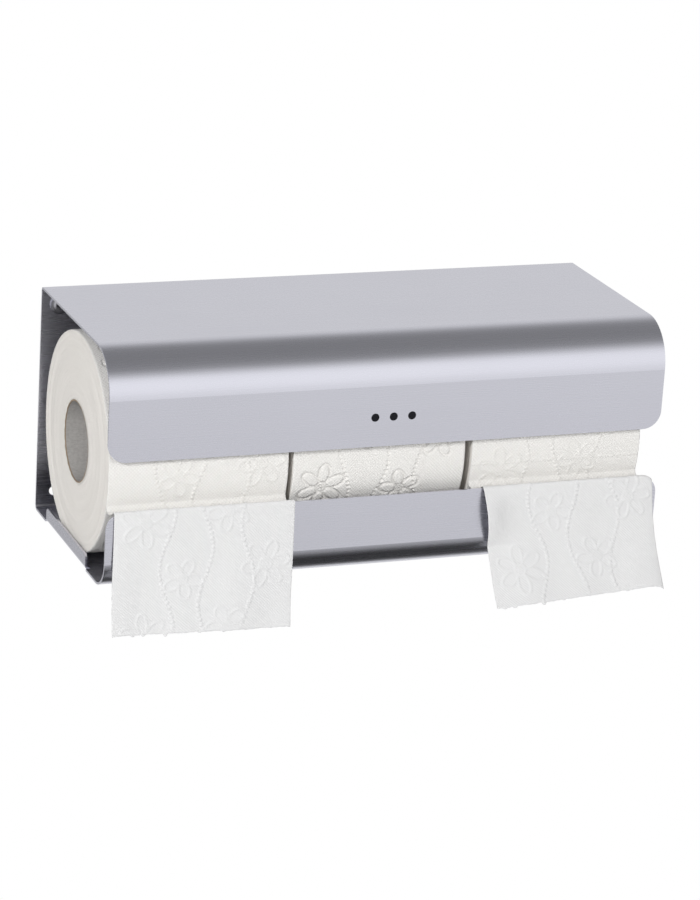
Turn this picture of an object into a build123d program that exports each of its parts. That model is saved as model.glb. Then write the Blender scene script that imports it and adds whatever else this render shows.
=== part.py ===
from build123d import *
import math
import os

# Wall holder for three toilet rolls, folded from one brushed steel sheet.
# X runs along the width, +Y points into the wall and +Z points up.
# The origin is the centre of the four fixing holes, on the face that lies on the wall.

# Toilet rolls, in millimetres
roll_count = 3
roll_width = 98.0
roll_diameter = 119.0
roll_edge_chamfer = 0.8
core_bore_diameter = 42.0
core_wall = 1.0

# Room that the holder leaves round the rolls
roll_running_gap = 0.3
roll_head_room = 4.7
roll_rear_room = 5.5
roll_flange_gap = 1.1
left_end_gap = 0.6
left_middle_gap = 0.8
middle_right_gap = 3.4
right_end_gap = 8.8

# Folded sheet
sheet_thickness = 1.2
flange_drop = 57.0
lip_height = 42.5
lip_reach = 1.6
front_bend_radius = 24.0
lip_bend_radius = 15.0
top_rear_bend_radius = 2.4
bottom_rear_bend_radius = 3.4
flange_corner_radius = 10.0
lip_corner_radius = 9.0

# Upturned end tabs that keep the rolls on the tray
tab_height = 8.5
tab_start_depth = 22.0
tab_length = 74.0
tab_bend_radius = 2.4
tab_corner_radius = 3.0
tab_relief_width = 1.4

# Three black buttons snapped into holes in the flange
button_count = 3
button_diameter = 4.4
button_pitch = 10.3
button_height = 16.0
button_stand_out = 0.15
button_fit = 0.05
button_collar_diameter = 6.4
button_collar_length = 0.8
button_chamfer = 0.1

# Screw holes in the wall plate
fixing_hole_diameter = 5.5
fixing_hole_side_margin = 10.0
fixing_hole_edge_margin = 10.2

# Paper pulled over the lip
paper_thickness = 0.4
paper_gap = 0.3
paper_fold_radius = 1.6
lead_drop = 7.0
tail_straight = 8.0
left_tail_shift = 2.2
left_tail_lengths = (59.5, 62.0)
left_tail_bottom_shifts = (0.0, 0.0)
left_tail_curl_radius = 420.0
right_tail_shift = 4.0
right_tail_lengths = (60.5, 55.5)
right_tail_bottom_shifts = (14.0, 15.0)
right_tail_curl_radius = 130.0

# Overall sizes that the rolls and the room round them give
roll_gaps = left_end_gap + left_middle_gap + middle_right_gap + right_end_gap
holder_width = roll_count * roll_width + roll_gaps + 2 * sheet_thickness
holder_height = roll_diameter + roll_running_gap + roll_head_room + 2 * sheet_thickness
flange_depth = roll_diameter + roll_rear_room + roll_flange_gap + 2 * sheet_thickness
lip_depth = flange_depth + lip_reach

# Places that follow from the sizes above
end_x = holder_width / 2
tray_z = -holder_height / 2
tray_top_z = tray_z + sheet_thickness
flange_edge_z = holder_height / 2 - flange_drop
lip_edge_z = tray_z + lip_height
roll_radius = roll_diameter / 2
roll_y = -(sheet_thickness + roll_rear_room + roll_radius)
roll_z = tray_top_z + roll_running_gap + roll_radius
left_roll_x = -end_x + sheet_thickness + left_end_gap
middle_roll_x = left_roll_x + roll_width + left_middle_gap
right_roll_x = middle_roll_x + roll_width + middle_right_gap
fixing_hole_x = end_x - fixing_hole_side_margin
fixing_hole_z = holder_height / 2 - fixing_hole_edge_margin
button_z = flange_edge_z + button_height
paper_back_y = -(lip_depth + paper_gap)
lead_end_z = lip_edge_z - lead_drop


def sheet_outline(inset):
    """The sheet's section on the YZ plane, moved inwards from its outer face by inset."""
    half = holder_height / 2
    return FilletPolyline(
        (-flange_depth + inset, flange_edge_z),
        (-flange_depth + inset, half - inset),
        (-inset, half - inset),
        (-inset, tray_z + inset),
        (-lip_depth + inset, tray_z + inset),
        (-lip_depth + inset, lip_edge_z),
        radius=[
            front_bend_radius - inset,
            top_rear_bend_radius - inset,
            bottom_rear_bend_radius - inset,
            lip_bend_radius - inset,
        ],
    )


def folded_sheet():
    """Flange, top, wall plate, tray and lip: one sheet folded round the rolls."""
    outer = sheet_outline(0)
    inner = sheet_outline(sheet_thickness)
    flange_end = Line(outer @ 0, inner @ 0)
    lip_end = Line(outer @ 1, inner @ 1)
    section = make_face(Plane.YZ * (outer + inner + flange_end + lip_end))
    sheet = extrude(section, amount=end_x, both=True)
    corners = sheet.edges().filter_by(Axis.Y)
    flange_corners = corners.filter_by(lambda e: abs(e.center().Z - flange_edge_z) < 0.01)
    sheet = fillet(flange_corners, flange_corner_radius)
    corners = sheet.edges().filter_by(Axis.Y)
    lip_corners = corners.filter_by(lambda e: abs(e.center().Z - lip_edge_z) < 0.01)
    return fillet(lip_corners, lip_corner_radius)


def end_tab(side):
    """One tab, turned up from the tray's end at the left (-1) or the right (+1)."""
    flat_end = end_x - tab_bend_radius
    outer = FilletPolyline(
        (flat_end, tray_z),
        (end_x, tray_z),
        (end_x, tray_z + tab_height),
        radius=tab_bend_radius - 0.001,
    )
    inner = FilletPolyline(
        (flat_end, tray_top_z),
        (end_x - sheet_thickness, tray_top_z),
        (end_x - sheet_thickness, tray_z + tab_height),
        radius=tab_bend_radius - sheet_thickness - 0.001,
    )
    section = outer + inner + Line(outer @ 0, inner @ 0) + Line(outer @ 1, inner @ 1)
    face = Plane.XZ.offset(tab_start_depth) * make_face(section)
    tab = extrude(face, amount=tab_length)
    tops = tab.edges().filter_by(Axis.X)
    tops = tops.filter_by(lambda e: e.center().Z > tray_z + tab_height - 0.01)
    tab = fillet(tops, tab_corner_radius)
    return tab if side > 0 else mirror(tab, Plane.YZ)


def tab_clearance(side):
    """The tray's edge that is cut away for a tab, with a relief slot at each end of it."""
    length = tab_length + 2 * tab_relief_width
    middle_y = -(tab_start_depth + tab_length / 2)
    reach = 2 * tab_bend_radius
    return Pos(side * end_x, middle_y, tray_z) * Box(reach, length, 4 * sheet_thickness)


def along_button_row(shape):
    """Copies of a shape at each button's place on the flange's outer face."""
    middle = (button_count - 1) / 2
    return [
        Pos((i - middle) * button_pitch, -flange_depth, button_z) * shape
        for i in range(button_count)
    ]


def button_holes():
    """The row of round holes in the front flange."""
    radius = button_diameter / 2 + button_fit
    return along_button_row(Cylinder(radius, 4 * sheet_thickness, rotation=(90, 0, 0)))


def buttons():
    """Black buttons that fill the holes, each held by a collar behind the flange."""
    face = Plane.XZ.offset(button_stand_out)
    stem_length = button_stand_out + sheet_thickness
    stem = extrude(face * Circle(button_diameter / 2), amount=-stem_length)
    rim = stem.edges().filter_by(GeomType.CIRCLE).sort_by(Axis.Y)[0]
    stem = chamfer(rim, button_chamfer)
    seat = Plane.XZ.offset(-sheet_thickness)
    collar = extrude(seat * Circle(button_collar_diameter / 2), amount=-button_collar_length)
    return Compound(children=along_button_row(stem + collar))


def fixing_holes():
    """The four screw holes in the wall plate."""
    drill = Cylinder(fixing_hole_diameter / 2, 4 * sheet_thickness, rotation=(90, 0, 0))
    return [
        Pos(x, 0, z) * drill
        for x in (-fixing_hole_x, fixing_hole_x)
        for z in (-fixing_hole_z, fixing_hole_z)
    ]


def holder_shell():
    """The whole folded sheet with its tabs and holes."""
    sheet = folded_sheet()
    for side in (-1, 1):
        sheet = sheet - tab_clearance(side)
        sheet = sheet + end_tab(side)
    for hole in button_holes() + fixing_holes():
        sheet = sheet - hole
    return sheet


def ring(start_x, outer_radius, inner_radius, edge_chamfer):
    """A ring on the roll's axis, with its outer edges broken."""
    tube = Cylinder(outer_radius, roll_width) - Cylinder(inner_radius, roll_width)
    if edge_chamfer:
        rims = tube.edges().filter_by(GeomType.CIRCLE)
        rims = rims.filter_by(lambda e: e.radius > outer_radius - 0.01)
        tube = chamfer(rims, edge_chamfer)
    return Pos(start_x + roll_width / 2, roll_y, roll_z) * Rot(0, 90, 0) * tube


def roll_paper(start_x):
    """The wound paper of one roll."""
    return ring(start_x, roll_radius, core_bore_diameter / 2 + core_wall, roll_edge_chamfer)


def roll_core(start_x):
    """The cardboard tube inside one roll."""
    bore_radius = core_bore_diameter / 2
    return ring(start_x, bore_radius + core_wall, bore_radius, 0)


def leaving_point():
    """Where the paper leaves the roll, on the straight line that runs over the lip."""
    radius = roll_radius + paper_gap
    over_lip_z = lip_edge_z + paper_gap
    run_y = paper_back_y - roll_y
    run_z = over_lip_z - roll_z
    turn = math.acos(radius / math.hypot(run_y, run_z))
    angle = math.atan2(run_z, run_y) - turn
    return roll_y + radius * math.cos(angle), roll_z + radius * math.sin(angle)


def paper_lead(start_x):
    """The paper between the roll and the lip, folded over the lip's edge."""
    back = FilletPolyline(
        leaving_point(),
        (paper_back_y, lip_edge_z + paper_gap),
        (paper_back_y, lead_end_z),
        radius=paper_fold_radius,
    )
    section = make_face(Plane.YZ * offset(back, paper_thickness, side=Side.RIGHT))
    return Pos(start_x, 0, 0) * extrude(section, amount=roll_width, dir=(1, 0, 0))


def paper_tail(start_x, lengths, bottom_shifts, curl_radius):
    """The paper that hangs in front of the lip and curls forwards towards its torn edge."""
    left_length, right_length = lengths
    left_shift, right_shift = bottom_shifts
    longest = max(lengths)
    straight = Line((paper_back_y, lead_end_z), (paper_back_y, lead_end_z - tail_straight))
    curl_angle = math.degrees((longest - tail_straight) / curl_radius) + 1
    curl = JernArc(straight @ 1, (0, -1), curl_radius, -curl_angle)
    section = make_face(Plane.YZ * offset(straight + curl, paper_thickness, side=Side.RIGHT))
    left_edge = start_x - longest
    web = extrude(section, amount=roll_width + 2 * longest, dir=(1, 0, 0))
    outline = Polyline(
        (start_x, lead_end_z),
        (start_x + roll_width, lead_end_z),
        (start_x + roll_width + right_shift, lead_end_z - right_length),
        (start_x + left_shift, lead_end_z - left_length),
        close=True,
    )
    cutter = extrude(Plane.XZ * make_face(outline), amount=2 * flange_depth, dir=(0, -1, 0))
    return (Pos(left_edge, 0, 0) * web) & cutter


parts = {"holder_shell": holder_shell(), "flange_buttons": buttons()}
roll_starts = {"left": left_roll_x, "middle": middle_roll_x, "right": right_roll_x}
for name, start in roll_starts.items():
    parts[f"{name}_roll_paper"] = roll_paper(start)
    parts[f"{name}_roll_core"] = roll_core(start)
left_tail_x = left_roll_x + left_tail_shift
right_tail_x = right_roll_x + right_tail_shift
parts["left_paper_lead"] = paper_lead(left_tail_x)
parts["right_paper_lead"] = paper_lead(right_tail_x)
parts["left_paper_tail"] = paper_tail(
    left_tail_x, left_tail_lengths, left_tail_bottom_shifts, left_tail_curl_radius
)
parts["right_paper_tail"] = paper_tail(
    right_tail_x, right_tail_lengths, right_tail_bottom_shifts, right_tail_curl_radius
)

os.makedirs("parts", exist_ok=True)
for name, part in parts.items():
    export_step(part, f"parts/{name}.step")
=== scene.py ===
import math

import bpy
import numpy as np
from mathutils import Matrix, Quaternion, Vector


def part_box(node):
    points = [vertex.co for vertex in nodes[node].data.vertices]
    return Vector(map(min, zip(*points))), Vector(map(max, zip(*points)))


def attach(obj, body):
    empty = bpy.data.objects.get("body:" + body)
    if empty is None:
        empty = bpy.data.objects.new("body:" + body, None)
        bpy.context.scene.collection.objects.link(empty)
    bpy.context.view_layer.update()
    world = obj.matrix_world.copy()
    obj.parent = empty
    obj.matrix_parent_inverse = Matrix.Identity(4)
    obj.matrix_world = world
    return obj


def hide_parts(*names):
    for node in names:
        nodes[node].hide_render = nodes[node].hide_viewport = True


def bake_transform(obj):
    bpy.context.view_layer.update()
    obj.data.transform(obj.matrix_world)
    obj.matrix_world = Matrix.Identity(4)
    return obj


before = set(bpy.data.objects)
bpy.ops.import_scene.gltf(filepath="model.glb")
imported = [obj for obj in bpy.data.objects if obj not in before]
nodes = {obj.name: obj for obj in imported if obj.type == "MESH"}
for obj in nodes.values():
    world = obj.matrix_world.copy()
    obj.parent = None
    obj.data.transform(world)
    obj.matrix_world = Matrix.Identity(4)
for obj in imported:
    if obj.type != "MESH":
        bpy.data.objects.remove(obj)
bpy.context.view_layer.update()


# Folded holder.
# One piece of 1.2 mm stainless sheet, laser cut, brushed along its width and bent in a press.
# It is screwed to the wall through its back plate, and the rolls lie loose in its tray.

sheet_thickness = 0.0012
lip_height = 0.0425
sheet_low, sheet_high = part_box("holder_shell")
lip_top = sheet_low.z + lip_height
steel_colour = (0.735, 0.737, 0.812)
steel_smudge_colour = (0.712, 0.714, 0.787)
steel_roughness = 0.20
fine_line_scale = (14, 3000, 3000)
broad_line_scale = (3, 260, 260)
brush_line_depth = 0.000035


class Wire:
    """A node's output that can stand in an expression like a number."""

    def __init__(self, finish, socket):
        self.finish = finish
        self.socket = socket

    def maths(self, operation, *others):
        return self.finish.add("ShaderNodeMath", {"operation": operation}, self, *others)

    def __add__(self, other):
        return self.maths("ADD", other)

    def __sub__(self, other):
        return self.maths("SUBTRACT", other)

    def __rsub__(self, other):
        return self.finish.add("ShaderNodeMath", {"operation": "SUBTRACT"}, other, self)

    def __mul__(self, other):
        return self.maths("MULTIPLY", other)

    def __pow__(self, other):
        return self.maths("POWER", other)

    __radd__ = __add__
    __rmul__ = __mul__


class Finish:
    """A material, or the world, whose nodes are added one by one."""

    def __init__(self, owner, shader="Principled BSDF"):
        owner.use_nodes = True
        self.owner = owner
        self.tree = owner.node_tree
        self.shader = self.tree.nodes[shader]

    def add(self, kind, settings=None, *inputs, output=0, **named):
        """Adds a node, gives it its settings and then its inputs, and returns one output."""
        node = self.tree.nodes.new(kind)
        for name, value in (settings or {}).items():
            if name == "stops":
                self.set_stops(node, value)
            else:
                setattr(node, name, value)
        for place, value in list(enumerate(inputs)) + list(named.items()):
            self.feed(node.inputs[place], value)
        return Wire(self, node.outputs[output])

    def feed(self, socket, value):
        """Gives a socket a link, a number or a colour, or leaves it alone for None."""
        if isinstance(value, Wire):
            self.tree.links.new(value.socket, socket)
        elif value is not None:
            socket.default_value = (*value, 1) if socket.type == "RGBA" else value

    def shade(self, **values):
        """Feeds the shader's sockets by name, with _ for each space."""
        for name, value in values.items():
            self.feed(self.shader.inputs[name.replace("_", " ")], value)

    def set_stops(self, node, stops):
        elements = node.color_ramp.elements
        while len(elements) < len(stops):
            elements.new(0.5)
        for element, (place, level) in zip(elements, stops):
            element.position = place
            element.color = (level, level, level, 1)

    def place(self, scale=(1, 1, 1)):
        """The place on the object in metres, stretched by scale."""
        coordinates = self.add("ShaderNodeTexCoord", output="Object")
        return self.add("ShaderNodeMapping", None, coordinates, Scale=scale)

    def split(self, vector):
        """The three parts of a vector."""
        node = self.add("ShaderNodeSeparateXYZ", None, vector).socket.node
        return [Wire(self, output) for output in node.outputs]

    def noise(self, vector, scale, detail=2.0, roughness=0.5):
        return self.add(
            "ShaderNodeTexNoise", None,
            Vector=vector, Scale=scale, Detail=detail, Roughness=roughness,
        )

    def mix(self, share, first, second):
        """A colour between two colours, which are the Mix node's seventh and eighth inputs."""
        skipped = [None] * 5
        return self.add(
            "ShaderNodeMix", {"data_type": "RGBA"}, share, *skipped, first, second, output=2
        )

    def bump(self, height, distance, strength=1.0):
        return self.add(
            "ShaderNodeBump", None, Strength=strength, Distance=distance, Height=height
        )


def new_finish(name, **values):
    """A material with these plain values on its shader."""
    finish = Finish(bpy.data.materials.new(name))
    finish.shade(**values)
    return finish


def brushed_steel():
    finish = new_finish("brushed_steel", Metallic=1.0)
    fine = finish.noise(finish.place(fine_line_scale), 1.0, 3.0, 0.6)
    broad = finish.noise(finish.place(broad_line_scale), 1.0, 2.0)
    smudge = finish.noise(finish.place(), 16.0, 3.0)
    streaks = 0.6 * fine + 0.4 * broad
    finish.shade(
        Base_Color=finish.mix(streaks, steel_smudge_colour, steel_colour),
        Roughness=steel_roughness + 0.10 * fine + 0.05 * smudge,
        Normal=finish.bump(streaks, brush_line_depth, 0.12),
    )
    return finish.owner


def coat(piece, *materials):
    piece.data.materials.clear()
    for material in materials:
        piece.data.materials.append(material)


coat(nodes["holder_shell"], brushed_steel())


# Flange buttons.
# Three black plastic buttons, snapped into a row of punched holes in the flange.
# Their faces are turned smooth and their edges are slightly broken.

button_colour = (0.006, 0.006, 0.009)
button_grain_depth = 0.00001


def black_plastic():
    finish = new_finish("black_plastic", Base_Color=button_colour, IOR=1.35)
    grain = finish.noise(finish.place(), 5200.0, 2.0)
    finish.shade(
        Roughness=0.62 + 0.12 * grain,
        Normal=finish.bump(grain, button_grain_depth, 0.5),
    )
    return finish.owner


coat(nodes["flange_buttons"], black_plastic())


# Wall screws.
# Two pan-head stainless screws hold the plate by its upper holes, and the lower two stay empty.
# The head is a low dome with a cross recess, turned and then bright.

screw_x = 0.145
screw_z = 0.053
head_radius = 0.0054
head_height = 0.0034
head_rounding = 0.82 * head_height
shank_radius = 0.0024
shank_overrun = 0.0001
recess_length = 0.0052
recess_width = 0.0011
recess_depth = 0.0018
seat_y = -sheet_thickness
face_y = seat_y - head_height
quarter_turn = math.radians(90)
screw_shade = (0.40, 0.40, 0.43)
screw_shine = (0.52, 0.52, 0.56)
turning_mark_scale = (2600, 300, 2600)
turning_mark_depth = 0.00001


def select_only(piece):
    bpy.ops.object.select_all(action="DESELECT")
    piece.select_set(True)
    bpy.context.view_layer.objects.active = piece


def apply_modifiers(piece):
    select_only(piece)
    for modifier in list(piece.modifiers):
        bpy.ops.object.modifier_apply(modifier=modifier.name)


def settle(piece):
    """Moves a piece's place, turn and size into its mesh."""
    select_only(piece)
    bpy.ops.object.transform_apply(location=True, rotation=True, scale=True)


def turned_rod(x, y, radius, length, sides):
    """A plain rod that points into the wall."""
    bpy.ops.object.select_all(action="DESELECT")
    bpy.ops.mesh.primitive_cylinder_add(
        vertices=sides, radius=radius, depth=length,
        location=(x, y, screw_z), rotation=(quarter_turn, 0, 0),
    )
    rod = bpy.context.active_object
    settle(rod)
    return rod


def dome_face(head):
    """Bevels the front rim of a screw head into a dome."""
    bpy.ops.object.mode_set(mode="EDIT")
    bpy.ops.mesh.select_all(action="DESELECT")
    bpy.ops.object.mode_set(mode="OBJECT")
    behind_face = face_y + 0.0001
    for edge in head.data.edges:
        edge.select = all(head.data.vertices[end].co.y < behind_face for end in edge.vertices)
    bpy.ops.object.mode_set(mode="EDIT")
    bpy.ops.mesh.bevel(offset=head_rounding, segments=10, profile=0.5)
    bpy.ops.object.mode_set(mode="OBJECT")


def cut_slot(head, x, turn):
    """Cuts one of the two slots that make the cross."""
    bpy.ops.mesh.primitive_cube_add(
        size=1, location=(x, face_y, screw_z), rotation=(0, turn, 0),
        scale=(recess_length, 2 * recess_depth, recess_width),
    )
    cutter = bpy.context.active_object
    settle(cutter)
    cut = head.modifiers.new("recess", "BOOLEAN")
    cut.operation = "DIFFERENCE"
    cut.object = cutter
    apply_modifiers(head)
    bpy.data.objects.remove(cutter)


def screw_steel():
    finish = new_finish("screw_steel", Metallic=1.0)
    turned = finish.noise(finish.place(turning_mark_scale), 1.0, 2.0)
    finish.shade(
        Base_Color=finish.mix(turned, screw_shade, screw_shine),
        Roughness=0.24 + 0.14 * turned,
        Normal=finish.bump(turned, turning_mark_depth, 0.4),
    )
    return finish.owner


def wall_screw(name, x):
    screw = turned_rod(x, (seat_y + face_y) / 2, head_radius, head_height, 64)
    screw.name = name
    dome_face(screw)
    for turn in (0, quarter_turn):
        cut_slot(screw, x, turn)
    shank_length = sheet_thickness + 2 * shank_overrun
    turned_rod(x, seat_y / 2, shank_radius, shank_length, 32)
    screw.select_set(True)
    bpy.context.view_layer.objects.active = screw
    bpy.ops.object.join()
    select_only(screw)
    bpy.ops.object.shade_smooth_by_angle(angle=math.radians(35))
    coat(screw, screw_metal)
    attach(screw, "holder")


screw_metal = screw_steel()
wall_screw("left_upper_screw", -screw_x)
wall_screw("right_upper_screw", screw_x)


# Toilet rolls.
# Each roll is a web of two-ply tissue wound on a core, embossed with daisies, dotted curves and a
# fine diamond weave. The layers show as soft rings on its ends, and its outline isn't quite round.

web_width = 0.098
core_radius = 0.022
roll_low, roll_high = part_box("left_roll_paper")
roll_radius = (roll_high.z - roll_low.z) / 2
roll_y = (roll_high.y + roll_low.y) / 2
roll_z = (roll_high.z + roll_low.z) / 2
repeat = 2 * math.pi * roll_radius / 6
line_width = 0.00085
dot_width = 0.00095
dot_pitch = repeat / 24
dot_swing = 0.004
daisy_ring_share = 0.72
daisy_eye_share = 0.30
emboss_depth = 0.0009
emboss_margin = 0.0016
cut_pitch = 0.0034
cut_length = 0.0021
cut_width = 0.00045
weave_turns = 2 * math.pi / 0.0019
stripe_turns = 2 * math.pi / 0.0016
weave_depth = 0.00011
# Both sides are the same paper, coloured in painted light. The outer colours are warmer and
# lighter, which paints the warm bounce light under the flange. The inner colours are cooler and
# darker, which paints shade against the stronger lamp light on the hanging sheet.
painted_bounce_outer_dark = (0.638, 0.618, 0.588)
painted_bounce_outer_pale = (0.770, 0.762, 0.745)
painted_shade_inner_dark = (0.606, 0.606, 0.607)
painted_shade_inner_pale = (0.716, 0.715, 0.717)
# The ends are the same paper as the skin, coloured brighter as painted light falling on them.
painted_light_end_dark = (0.710, 0.680, 0.640)
painted_light_end_pale = (0.840, 0.815, 0.778)
end_relief = 0.0006

edge_rounding = 0.0011
end_depth = 0.00050
layer_depth = 0.00011
skin_depth = 0.012
skin_columns = 180
end_rings = 30
bore_columns = 6
shown_from = 160
shown_to = 212
shown_step = 0.42
unseen_steps = 246
covered_from = math.radians(154)
covered_to = math.radians(200)
covered_depth = 0.0010
seam_gap = 0.00002
hair = 0.00001


def groove(distance, width=line_width):
    """A pressed line with soft raised shoulders, from -1 in its middle to 0 far away."""
    shoulder = np.exp(-(((distance - 1.9 * width) / width) ** 2))
    return 0.30 * shoulder - np.exp(-((distance / width) ** 2))


def daisy(u, v, centre_u, centre_v, petals, outer, inner, turn):
    """The pressed outline of one flower, with a ring and an eye in its middle."""
    du = (u - centre_u + repeat / 2) % repeat - repeat / 2
    dv = v - centre_v
    r = np.hypot(du, dv)
    angle = petals / 2 * (np.arctan2(dv, du) - turn)
    edge = inner + (outer - inner) * np.abs(np.sin(angle))
    slope = (outer - inner) * petals / 2 * np.abs(np.cos(angle))
    outline = np.abs(r - edge) / np.sqrt(1 + (slope / np.maximum(r, 0.001)) ** 2)
    ring = np.abs(r - inner * daisy_ring_share)
    eye = np.abs(r - inner * daisy_eye_share)
    return np.minimum(np.minimum(groove(outline), groove(ring)), groove(eye))


def dotted_curve(u, v, middle, phase):
    """A row of pressed dots that waves across the web."""
    along = np.round(u / dot_pitch) * dot_pitch
    wave = middle + dot_swing * np.sin(2 * math.pi * along / repeat + phase)
    return groove(np.hypot(u - along, v - wave), dot_width)


def emboss(u, v, daisy_depth=1.0):
    """The pressed pattern, down to -1, where u runs along the web and v across it."""
    daisies = [
        daisy(u, v, 0.010, 0.017, 6, 0.0135, 0.0040, 0.4),
        daisy(u, v, 0.041, 0.038, 5, 0.0110, 0.0034, 1.1),
        daisy(u, v, 0.014, 0.062, 5, 0.0115, 0.0035, 0.2),
        daisy(u, v, 0.046, 0.083, 6, 0.0130, 0.0040, 0.9),
    ]
    curves = [
        dotted_curve(u, v, 0.029, 0.0),
        dotted_curve(u, v, 0.050, 2.1),
        dotted_curve(u, v, 0.073, 4.0),
    ]
    height = np.minimum.reduce([flower * daisy_depth for flower in daisies] + curves)
    inside = np.clip(np.minimum(v, web_width - v) / emboss_margin, 0, 1)
    return height * inside


def perforations(u, v, place):
    """A row of short cuts across the web."""
    cut = (v % cut_pitch) < cut_length
    return np.where(cut, groove(np.abs(u - place), cut_width), 0) * 0.8


def tissue():
    """Soft embossed tissue: diamonds on its outer side, diagonal lines on its inner side. Its
    colour holds painted shade in the weave's hollows and the pressed grooves, and painted light
    that differs between its two sides.
    """
    finish = new_finish("tissue", Roughness=0.92, Specular_IOR_Level=0.12, Sheen_Weight=0.06)
    u, v, _ = finish.split(finish.add("ShaderNodeUVMap", {"uv_map": "web"}))
    inner_side = finish.add("ShaderNodeAttribute", {"attribute_name": "inner_side"}, output="Fac")
    pressed = finish.add("ShaderNodeAttribute", {"attribute_name": "pressed"}, output="Fac")
    diamonds = (u * weave_turns).maths("SINE") * (v * weave_turns).maths("SINE")
    stripes = 0.42 * ((u + v) * stripe_turns).maths("SINE")
    weave = diamonds + (stripes - diamonds) * inner_side
    fibres = finish.noise(finish.place(), 1500.0, 4.0, 0.65)
    # Painted shade: the weave's hollows and the pressed grooves are darkened in the colour, on top
    # of the fibres' random tone.
    tone_with_painted_shade = 0.22 * weave + 0.4 * fibres + 0.42 - 0.16 * pressed
    outer = finish.mix(tone_with_painted_shade, painted_bounce_outer_dark, painted_bounce_outer_pale)
    inner = finish.mix(tone_with_painted_shade, painted_shade_inner_dark, painted_shade_inner_pale)
    finish.shade(
        # The switch from the outer to the inner colours at the fold is also a painted change of
        # light.
        Base_Color=finish.mix(inner_side, outer, inner),
        Normal=finish.bump(weave + 0.5 * fibres, weave_depth, 0.9),
    )
    return finish.owner


def roll_end_paper():
    """The cut ends of a few hundred layers, seen as faint rings, coloured brighter than the roll's
    skin as painted light on the ends.
    """
    finish = new_finish("roll_end", Roughness=0.95, Specular_IOR_Level=0.08, Sheen_Weight=0.08)
    place = finish.place()
    _, y, z = finish.split(place)
    across = y - roll_y
    up = z - roll_z
    radius = (across * across + up * up) ** 0.5
    wander = finish.noise(place, 60.0, 2.0)
    flat = finish.add("ShaderNodeCombineXYZ", None, radius + 0.0012 * wander, 0.0, 0.0)
    fine = finish.noise(flat, 2400.0, 2.0, 0.7)
    broad = finish.noise(flat, 420.0, 2.0, 0.6)
    fibres = finish.noise(place, 1300.0, 4.0, 0.7)
    rings = 0.5 * fine + 0.5 * broad
    finish.shade(
        Base_Color=finish.mix(0.7 * rings + 0.3 * fibres, painted_light_end_dark, painted_light_end_pale),
        Normal=finish.bump(0.9 * rings + 0.5 * fibres, end_relief, 0.9),
    )
    return finish.owner


def new_grid(name, columns, rows):
    """A flat grid, and the column and row of each of its points."""
    bpy.ops.object.select_all(action="DESELECT")
    bpy.ops.mesh.primitive_grid_add(x_subdivisions=columns, y_subdivisions=rows, size=1)
    piece = bpy.context.active_object
    piece.name = name
    piece.data.uv_layers.active.name = "web"
    co = np.empty(len(piece.data.vertices) * 3)
    piece.data.vertices.foreach_get("co", co)
    column = np.rint((co[::3] + 0.5) * columns).astype(int)
    row = np.rint((co[1::3] + 0.5) * rows).astype(int)
    return piece, column, row


def turned_ring(name, section_v, section_r, angles):
    """A ring round the rolls' axis that is still open, with each point's v, r and turn."""
    piece, column, row = new_grid(name, len(angles) - 1, len(section_v) - 1)
    return piece, section_v[row], section_r[row], angles[column]


def face_outwards(piece):
    select_only(piece)
    bpy.ops.object.mode_set(mode="EDIT")
    bpy.ops.mesh.select_all(action="SELECT")
    bpy.ops.mesh.normals_make_consistent(inside=False)
    bpy.ops.object.mode_set(mode="OBJECT")
    bpy.ops.object.shade_smooth()


def close_ring(piece):
    """Merges a ring's first and last columns, and its first and last rows."""
    select_only(piece)
    bpy.ops.object.mode_set(mode="EDIT")
    bpy.ops.mesh.select_all(action="SELECT")
    bpy.ops.mesh.remove_doubles(threshold=seam_gap)
    bpy.ops.object.mode_set(mode="OBJECT")
    face_outwards(piece)


def place_points(piece, x, y, z):
    piece.data.vertices.foreach_set("co", np.column_stack([x, y, z]).ravel())
    piece.data.update()


def place_round_axis(piece, x, r, turn):
    place_points(piece, x, roll_y + r * np.cos(turn), roll_z + r * np.sin(turn))


def web_map(piece, u, v):
    """A map of the paper in metres."""
    corners = np.empty(len(piece.data.loops), int)
    piece.data.loops.foreach_get("vertex_index", corners)
    places = np.column_stack([u[corners], v[corners]])
    piece.data.uv_layers["web"].data.foreach_set("uv", places.ravel())


def point_values(piece, name, values):
    attribute = piece.data.attributes.new(name, "FLOAT", "POINT")
    attribute.data.foreach_set("value", values.astype(np.float32))


def web_x(node, v, trims):
    """The place of v along the rolls' axis, on a node whose ends are cut back by trims."""
    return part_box(node)[0].x + trims[0] + v * (1 - sum(trims) / web_width)


def roll_section():
    """Distances across the web and radii of the points round a roll's section."""
    edge = np.array([0, 0.0002, 0.0005, 0.0009])
    middle = np.linspace(0.0014, web_width - 0.0014, skin_columns)
    skin = np.concatenate([edge, middle, web_width - edge[::-1]])
    inwards = (np.arange(1, end_rings) / end_rings) ** 1.6
    down = roll_radius - (roll_radius - core_radius) * inwards
    bore = np.linspace(web_width, 0, bore_columns)
    v = [skin, np.full(len(down), web_width), bore, np.zeros(len(down) + 1)]
    r = [
        np.full(len(skin), roll_radius), down, np.full(len(bore), core_radius),
        down[::-1], [roll_radius],
    ]
    return np.concatenate(v), np.concatenate(r)


def skin_slump(v, turn, seed):
    """How far a roll's skin has sunk inside its nominal radius, a little unevenly."""
    slump = 0.00085 + 0.00025 * np.sin(2 * turn + seed) + 0.00014 * np.sin(5 * turn + 2.3 * seed)
    slump = slump + 0.00006 * np.sin(11 * turn + 40 * v + seed)
    return slump + 0.00005 * np.sin(160 * v + 3 * turn + 1.7 * seed)


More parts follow.
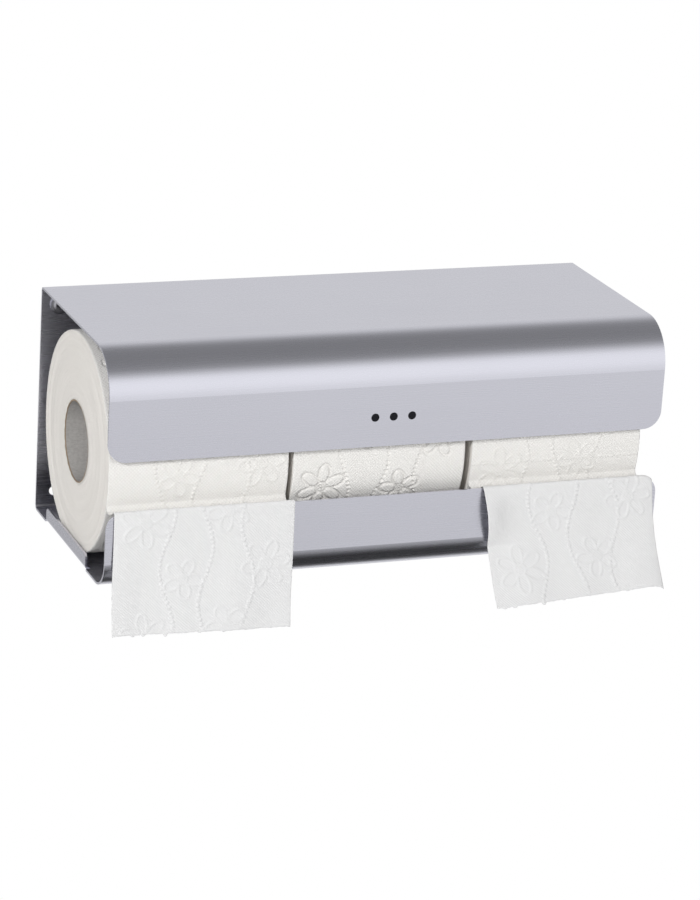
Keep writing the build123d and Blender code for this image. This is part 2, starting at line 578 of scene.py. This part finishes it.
def end_dish(r, turn, seed):
    """How far a roll's end lies inside its nominal width: rings of layers and a round edge."""
    from_skin = roll_radius - r
    layers = np.sin(r * 5200 + seed) + np.sin(r * 1130 + 2 * seed + 0.8 * np.sin(turn))
    layers = layers + 1.2 * np.sin(r * 410 + 0.9 * np.sin(2 * turn + seed))
    dish = (end_depth + layer_depth * layers) * np.clip(from_skin / 0.0015, 0, 1)
    return dish + edge_rounding * 0.5 * (1 - np.clip(from_skin / edge_rounding, 0, 1)) ** 2


def wound_paper(name, body, phase, seed, trims, covered):
    """One roll, with its points closer together where it shows between the flange and the lip.

    Where it is covered by a loose sheet, it is plain and sunk.
    """
    shown = np.arange(shown_from, shown_to, shown_step)
    unseen = np.linspace(shown_to, shown_from + 360, unseen_steps)
    angles = np.radians(np.concatenate([shown, unseen]))
    roll, v, r, turn = turned_ring(f"{name}_roll", *roll_section(), angles)
    from_edge = np.minimum(v, web_width - v)
    from_skin = roll_radius - r
    on_skin = from_skin < hair
    pattern = emboss(turn * roll_radius + phase, v)
    slump = skin_slump(v, turn, seed)
    if covered:
        under = (turn > covered_from) & (turn < covered_to)
        pattern = np.where(under, 0, pattern)
        slump = np.where(under, np.maximum(slump, covered_depth), slump)
    rounding = edge_rounding * 0.6 * (1 - np.clip(from_edge / edge_rounding, 0, 1)) ** 2
    sunk = np.where(
        on_skin, slump + rounding - pattern * emboss_depth, slump + edge_rounding * 0.6
    )
    fade = np.clip(1 - from_skin / skin_depth, 0, 1) ** 2
    on_end = (from_edge < hair) & (r > core_radius + 0.0001)
    inward = np.where(on_end, end_dish(r, turn, seed), 0)
    x = web_x(f"{name}_roll_paper", v, trims) + inward * np.sign(web_width / 2 - v)
    place_round_axis(roll, x, r - sunk * fade, turn)
    web_map(roll, turn * roll_radius, v)
    # The pressed depth darkens the tissue's colour as painted shade in the grooves.
    point_values(roll, "pressed", np.where(on_skin, np.clip(-pattern, 0, 1), 0))
    close_ring(roll)
    coat(roll, paper_tissue, roll_end)
    normals = np.empty(len(roll.data.polygons) * 3)
    roll.data.polygons.foreach_get("normal", normals)
    is_end = (np.abs(normals[::3]) > 0.75).astype(int)
    roll.data.polygons.foreach_set("material_index", is_end)
    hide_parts(f"{name}_roll_paper")
    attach(roll, body)


paper_tissue = tissue()
roll_end = roll_end_paper()
left_trims = (0, 0.0008)
middle_trims = (0.0011, 0)
right_trims = (0.0002, 0)
wound_paper("left", "left_roll", 0.016, 0.7, left_trims, True)
wound_paper("middle", "middle_roll", 0.058, 2.9, middle_trims, False)
wound_paper("right", "right_roll", 0.030, 4.4, right_trims, True)


# Roll cores.
# Each core is a tube of grey board, wound from a glued strip whose edge runs round it as a spiral.
# Its ends are cut square with the paper, which leaves a slightly furred brown rim.

core_outside = 0.02195
core_bore = 0.021
core_columns = 110
core_turns = 161
strip_pitch = 0.062
strip_step = 0.00022
strip_lap = 0.06
furring = 0.00012
rim_width = 0.0007
wall_shade = (0.15, 0.143, 0.137)
wall_light = (0.66, 0.64, 0.62)
rim_shade = (0.22, 0.165, 0.115)
rim_light = (0.42, 0.34, 0.26)
board_relief = 0.00012
board_fibre_scale = (500, 2200, 2200)


def core_board():
    finish = new_finish("core_board", Roughness=0.9, Specular_IOR_Level=0.15)
    fibres = finish.noise(finish.place(board_fibre_scale), 1.0, 4.0, 0.7)
    flecks = finish.noise(finish.place(), 700.0, 3.0, 0.6)
    cloud = finish.noise(finish.place(), 45.0, 2.0)
    share = 0.45 * fibres + 0.35 * flecks + 0.2 * cloud
    wall = finish.mix(share, wall_shade, wall_light)
    cut = finish.mix(share, rim_shade, rim_light)
    _, v, _ = finish.split(finish.add("ShaderNodeUVMap", {"uv_map": "web"}))
    from_middle = (v - web_width / 2).maths("ABSOLUTE")
    rim = from_middle.maths("GREATER_THAN", web_width / 2 - rim_width)
    finish.shade(
        Base_Color=finish.mix(rim, wall, cut),
        Normal=finish.bump(fibres + flecks, board_relief, 0.8),
    )
    return finish.owner


def roll_core(name, body, trims):
    outer_v = [0, 0.033, 0.065, web_width]
    inner_v = np.linspace(web_width, 0, core_columns)
    section_v = np.concatenate([outer_v, inner_v, [0]])
    section_r = np.concatenate([
        np.full(len(outer_v), core_outside), np.full(core_columns, core_bore), [core_outside],
    ])
    angles = np.linspace(0, 2 * math.pi, core_turns)
    core, v, r, turn = turned_ring(f"{name}_core", section_v, section_r, angles)
    along_strip = (turn / (2 * math.pi) + v / strip_pitch + 0.37) % 1
    step = strip_step * np.clip(along_strip / strip_lap, 0, 1) * (1 - 0.75 * along_strip)
    dent = 0.00012 * np.sin(3 * turn + 30 * v)
    grow = np.where(r < core_bore + hair, step + 0.00012 + dent, 0)
    furred = furring * (1 + np.sin(23 * turn) * np.sin(7 * turn + 1))
    inward = np.where(np.minimum(v, web_width - v) < hair, furred, 0)
    x = web_x(f"{name}_roll_core", v, trims) + inward * np.sign(web_width / 2 - v)
    place_round_axis(core, x, r + grow, turn)
    web_map(core, turn * roll_radius, v)
    close_ring(core)
    bpy.ops.object.shade_smooth_by_angle(angle=math.radians(40))
    coat(core, board)
    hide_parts(f"{name}_roll_core")
    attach(core, body)


board = core_board()
roll_core("left", "left_roll", left_trims)
roll_core("middle", "middle_roll", middle_trims)
roll_core("right", "right_roll", right_trims)


# Loose paper.
# The end of each outer web is one two-ply sheet. It lies slack on the front of its roll, bends over
# the lip and hangs in front of it, down to the perforations where the last piece was torn off.

paper_thickness = 0.00026
paper_y = -0.13010
slack_from = 157
slack_to = 196
slack_points = 80
slack_depth = 0.0006
fold_points = (
    (-0.1246, -0.0009), (-0.1262, -0.0013), (-0.1276, -0.0005), (-0.1282, 0.0006),
    (-0.1290, 0.0010), (-0.1298, 0.0007), (paper_y, -0.0004),
)
fold_points_behind_lip = 3
curl_length = 0.07
line_step = 0.0001
smoothing = 9
web_columns = 200
web_rows = 230
nub_width = 0.0011
lip_corner = 0.009
corner_reach = 0.004
turn_over_length = 0.0012
easing_length = 0.007
ripple_length = 0.06
flare_width = 0.12
flare_length = 0.034
tear_margin = 0.003
sheet_daisy_depth = 0.55
sheet_emboss_depth = 0.75


def paper_line(curl_start, curl_radius):
    """Points on the paper's middle line, and how far along it the top of the fold is."""
    turn = np.radians(np.linspace(slack_from, slack_to, slack_points))
    skin = roll_radius - slack_depth
    on_roll = np.column_stack([roll_y + skin * np.cos(turn), roll_z + skin * np.sin(turn)])
    fold = np.array([*fold_points, (paper_y, -curl_start)]) + (0, lip_top)
    curl = np.linspace(0, curl_length / curl_radius, 60)[1:]
    curled = np.column_stack([
        paper_y - curl_radius * (1 - np.cos(curl)),
        lip_top - curl_start - curl_radius * np.sin(curl),
    ])
    line = np.concatenate([on_roll, fold, curled])
    length = np.concatenate([[0], np.cumsum(np.hypot(*np.diff(line, axis=0).T))])
    steps = np.arange(0, length[-1], line_step)
    line = np.column_stack([np.interp(steps, length, line[:, side]) for side in (0, 1)])
    ends = (smoothing // 2, smoothing // 2)
    for _ in range(2):
        padded = np.pad(line, (ends, (0, 0)), mode="reflect", reflect_type="odd")
        window = np.full(smoothing, 1 / smoothing)
        line = np.column_stack([np.convolve(padded[:, side], window, "valid") for side in (0, 1)])
    past_lip_back = steps > length[slack_points + fold_points_behind_lip]
    top = np.argmax(np.where(past_lip_back, line[:, 1], -1))
    return steps, line, steps[top]


def torn_edge(t, hangs, nubs, seed):
    """How far below the fold the torn edge is, where t is 0 on its left and 1 on its right.

    A nub is left where the paper between two cuts stretched before it broke.
    """
    tear = hangs[0] + (hangs[1] - hangs[0]) * t
    tear = tear + 0.00012 * np.sin(50 * t + seed) + 0.00006 * np.sin(170 * t + 2 * seed)
    for place, size in nubs:
        away = np.abs(t * web_width - place * web_width)
        tear = tear + size * np.clip(1.4 - away / nub_width, 0, 1)
    return tear


def loose_paper(
    name, trims, shift, spread, hangs, slant, curl, flare, perforated, nubs, seed
):
    """One sheet. Its two hangs are how far its left and right corners are below the fold."""
    paper, column, row = new_grid(f"{name}_loose_paper", web_columns, web_rows)
    steps, line, top = paper_line(*curl)
    t = column / web_columns
    v = t * web_width
    tear = torn_edge(t, hangs, nubs, seed)
    s = (1 - row / web_rows) * (top + tear)
    u = top + hangs[0] - s
    past_fold = s - top
    below = np.clip(past_fold / ripple_length, 0, 1)
    turned = np.clip((past_fold + turn_over_length / 2) / turn_over_length, 0, 1)

    pattern = emboss(u + 0.013 * seed, v, sheet_daisy_depth)
    pattern = pattern * np.clip((top + tear - s) / tear_margin, 0, 1)
    if perforated:
        pattern = np.minimum(pattern, perforations(u, v, hangs[0] + perforated))
    ripple = 0.0006 * (1 + np.sin(7.5 * t + seed + 2 * below)) + 0.0004 * np.sin(19 * t + seed)
    bulge = np.sin(math.pi * np.clip(past_fold / flare_length, 0, 1))
    standoff = flare * np.exp(-((t / flare_width) ** 2)) * bulge
    pressing = pattern * emboss_depth * sheet_emboss_depth
    lift = np.clip(ripple, 0, None) * below + standoff - pressing

    on_roll_x = web_x(f"{name}_roll_paper", v, trims)
    hung_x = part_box(f"{name}_paper_lead")[0].x + shift + v * spread
    easing = np.clip((past_fold + easing_length) / easing_length, 0, 1)
    easing = easing * easing * (3 - 2 * easing)
    edge_wave = 0.0005 * below * np.sin(5 * below + 18 * t + seed)
    slanted = slant * np.clip(past_fold, 0, None)
    x = on_roll_x + (hung_x - on_roll_x) * easing + slanted + edge_wave

    past_corner = np.clip(hung_x - (sheet_high.x - lip_corner), 0, lip_corner - 0.0001)
    near_lip = np.clip((past_fold + corner_reach) / corner_reach, 0, 1)
    drop = (lip_corner - np.sqrt(lip_corner ** 2 - past_corner ** 2)) * near_lip
    heading = np.gradient(line, axis=0)
    heading = heading / np.hypot(*heading.T)[:, None]
    y = np.interp(s, steps, line[:, 0]) + np.interp(s, steps, heading[:, 1]) * lift
    z = np.interp(s, steps, line[:, 1]) + np.interp(s, steps, -heading[:, 0]) * lift
    place_points(paper, x, y, z - drop)

    web_map(paper, u, v)
    # The pressed depth darkens the tissue as painted shade in the grooves, less on the hanging
    # side, and inner_side switches the colours at the fold as a painted change of light.
    point_values(paper, "pressed", np.clip(-pattern, 0, 1) * (1 - 0.8 * turned))
    point_values(paper, "inner_side", turned)
    solid = paper.modifiers.new("thickness", "SOLIDIFY")
    solid.thickness = paper_thickness
    solid.offset = 0
    apply_modifiers(paper)
    face_outwards(paper)
    coat(paper, paper_tissue)
    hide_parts(f"{name}_paper_lead", f"{name}_paper_tail")
    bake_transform(paper)


loose_paper(
    "left", left_trims, shift=0, spread=1, hangs=(0.0670, 0.0695), slant=0.0,
    curl=(0.012, 0.42), flare=0.0, perforated=0, seed=1,
    nubs=((0.11, 0.0008), (0.17, 0.0010), (0.30, 0.0015), (0.48, 0.0005), (0.62, 0.0004)),
)
loose_paper(
    "right", right_trims, shift=0.0018, spread=1.012, hangs=(0.0680, 0.0625),
    slant=0.125, curl=(0.012, 0.13), flare=0.0055, perforated=0.019, seed=4,
    nubs=((0.05, 0.0007), (0.11, 0.0008), (0.27, 0.0015), (0.40, 0.0005), (0.79, 0.0006)),
)


# Studio.
# A pale floor lies well below the holder, where the paper can't reach it when it is pulled out.
# A soft sky with a dim top shapes the bands on the steel, and three soft lamps light the paper.

floor_z = -0.34
floor_size = 9
floor_colour = (0.9, 0.9, 0.9)
camera_place = (-0.64889, -1.69626, 0.57519)
camera_azimuth = math.radians(-21.745)
camera_elevation = math.radians(18.652)
camera_roll = math.radians(3.514)
camera_lens = 137.02
sensor_width = 36
front_stops = (
    (0.0, 0.03), (0.13, 0.03), (0.22, 0.16), (0.34, 0.80), (0.50, 0.97),
    (0.58, 1.0), (0.745, 1.0), (0.88, 0.26), (1.0, 0.22),
)
back_stops = (
    (0.0, 0.03), (0.05, 0.03), (0.09, 0.80), (0.24, 0.85), (0.33, 0.45),
    (0.50, 0.60), (0.66, 0.76), (0.76, 0.66), (0.90, 0.25), (1.0, 0.22),
)
sky_strength = 1.06
sky_cut_for_soft_light = 0.28
side_strength = 0.36


def pale_floor():
    bpy.ops.object.select_all(action="DESELECT")
    bpy.ops.mesh.primitive_plane_add(size=floor_size, location=(0, 0, floor_z))
    floor = bpy.context.active_object
    floor.name = "floor"
    finish = new_finish("pale_floor", Base_Color=floor_colour, Roughness=0.9)
    seen = finish.add("ShaderNodeLightPath", output="Is Camera Ray")
    matt = Wire(finish, finish.shader.outputs[0])
    white = finish.add("ShaderNodeEmission")
    surface = finish.add("ShaderNodeMixShader", None, seen, matt, white)
    finish.feed(finish.tree.nodes["Material Output"].inputs[0], surface)
    coat(floor, finish.owner)
    floor.visible_glossy = False


def soft_sky():
    """A sky that is white to the camera, with bands and dark sides for everything else."""
    world = bpy.data.worlds.new("soft_sky")
    bpy.context.scene.world = world
    sky = Finish(world, "Background")
    x, y, z = sky.split(sky.add("ShaderNodeTexCoord", output="Generated"))
    height = 0.5 * z + 0.5
    front = sky.add("ShaderNodeValToRGB", {"stops": front_stops}, height)
    back = sky.add("ShaderNodeValToRGB", {"stops": back_stops}, height)
    towards_wall = sky.add(
        "ShaderNodeMath", {"operation": "MULTIPLY_ADD", "use_clamp": True}, y, 1.6, 0.5
    )
    sideways = sky.add(
        "ShaderNodeMapRange", {"interpolation_type": "SMOOTHSTEP"}, x.maths("ABSOLUTE"),
        0.50, 0.95, 1.0, side_strength,
    )
    bands = sky.mix(towards_wall, front, back)
    seen = sky.add("ShaderNodeLightPath", output="Is Camera Ray")
    soft = sky.add("ShaderNodeLightPath", output="Is Diffuse Ray")
    strength = sideways * (sky_strength - sky_cut_for_soft_light * soft)
    sky.shade(
        Color=sky.mix(seen, bands, (1, 1, 1)),
        Strength=strength + (1 - strength) * seen,
    )


def lamp(name, place, size, power):
    """A broad soft lamp that faces the holder and doesn't show in the steel."""
    data = bpy.data.lights.new(name, "AREA")
    data.shape = "DISK"
    data.size = size
    data.energy = power
    light = bpy.data.objects.new(name, data)
    bpy.context.scene.collection.objects.link(light)
    light.location = place
    light.rotation_euler = (-Vector(place)).to_track_quat("-Z", "Y").to_euler()
    light.visible_glossy = False


def photo_camera():
    data = bpy.data.cameras.new("camera")
    data.lens = camera_lens
    data.sensor_width = sensor_width
    camera = bpy.data.objects.new("camera", data)
    bpy.context.scene.collection.objects.link(camera)
    level = math.cos(camera_elevation)
    back = Vector((
        math.sin(camera_azimuth) * level,
        -math.cos(camera_azimuth) * level,
        math.sin(camera_elevation),
    ))
    aim = (-back).to_track_quat("-Z", "Y")
    camera.location = camera_place
    camera.rotation_mode = "QUATERNION"
    camera.rotation_quaternion = aim @ Quaternion((0, 0, 1), camera_roll)
    bpy.context.scene.camera = camera


pale_floor()
soft_sky()
lamp("key_lamp", (-1.4, -1.3, 1.0), 0.5, 27)
lamp("fill_lamp", (1.0, -1.6, 0.5), 1.0, 9)
lamp("back_lamp", (0.4, 1.6, 0.9), 1.0, 6)
photo_camera()
bpy.context.scene.view_settings.view_transform = "Standard"
